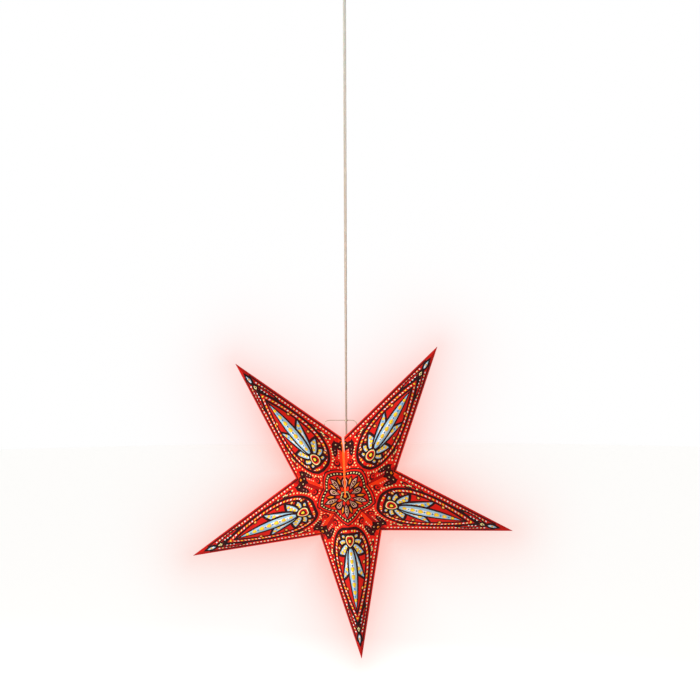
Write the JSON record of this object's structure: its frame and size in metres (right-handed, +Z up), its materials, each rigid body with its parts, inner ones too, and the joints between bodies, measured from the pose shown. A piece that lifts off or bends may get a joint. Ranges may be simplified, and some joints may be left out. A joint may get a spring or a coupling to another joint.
{
  "type": "folding paper star lantern",
  "caption": "Lit five-pointed star of folded printed paper, hung from a ceiling rose on a straight flat flex with a lampholder inside.",
  "frame": {"origin": "centre of the ceiling face of the rose, on the axis of the flex", "axes": "+Z up along the flex, -Y towards the front of the star, +X to its right as seen from the front"},
  "size_m": [0.5949, 0.18, 1.2935],
  "materials": {
    "printed_paper": "matt printed paper, lit from inside",
    "cotton": "twisted cotton",
    "wire": "drawn wire",
    "flex_pvc": "clear over pale cores",
    "holder_plastic": "moulded",
    "holder_ceramic": "fired",
    "brass": "drawn",
    "steel": "zinc plated",
    "opal_glass": "opal, lit",
    "rose_plastic": "moulded"
  },
  "bodies": {
    "root": {"point_upper_right": "printed_paper", "point_upper_left": "printed_paper", "point_left": "printed_paper", "point_bottom": "printed_paper", "point_right": "printed_paper", "seam_tie_front": "cotton", "seam_tie_back": "cotton", "hanger_wire": "wire", "flex": "flex_pvc", "lampholder_cord_grip": "holder_plastic", "lampholder_cap": "holder_plastic", "lampholder_shell": "holder_plastic", "lampholder_insert": "holder_ceramic", "screw_shell": "brass", "centre_contact": "brass", "terminal_screws": "brass", "bulb": "opal_glass", "rose_base": "rose_plastic", "rose_cover": "rose_plastic", "rose_cord_grip": "rose_plastic", "rose_terminal_block": "holder_plastic", "rose_block_screws": "steel", "rose_terminal_screws": "brass", "rose_side_screws": "steel"}
  },
  "joints": []
}
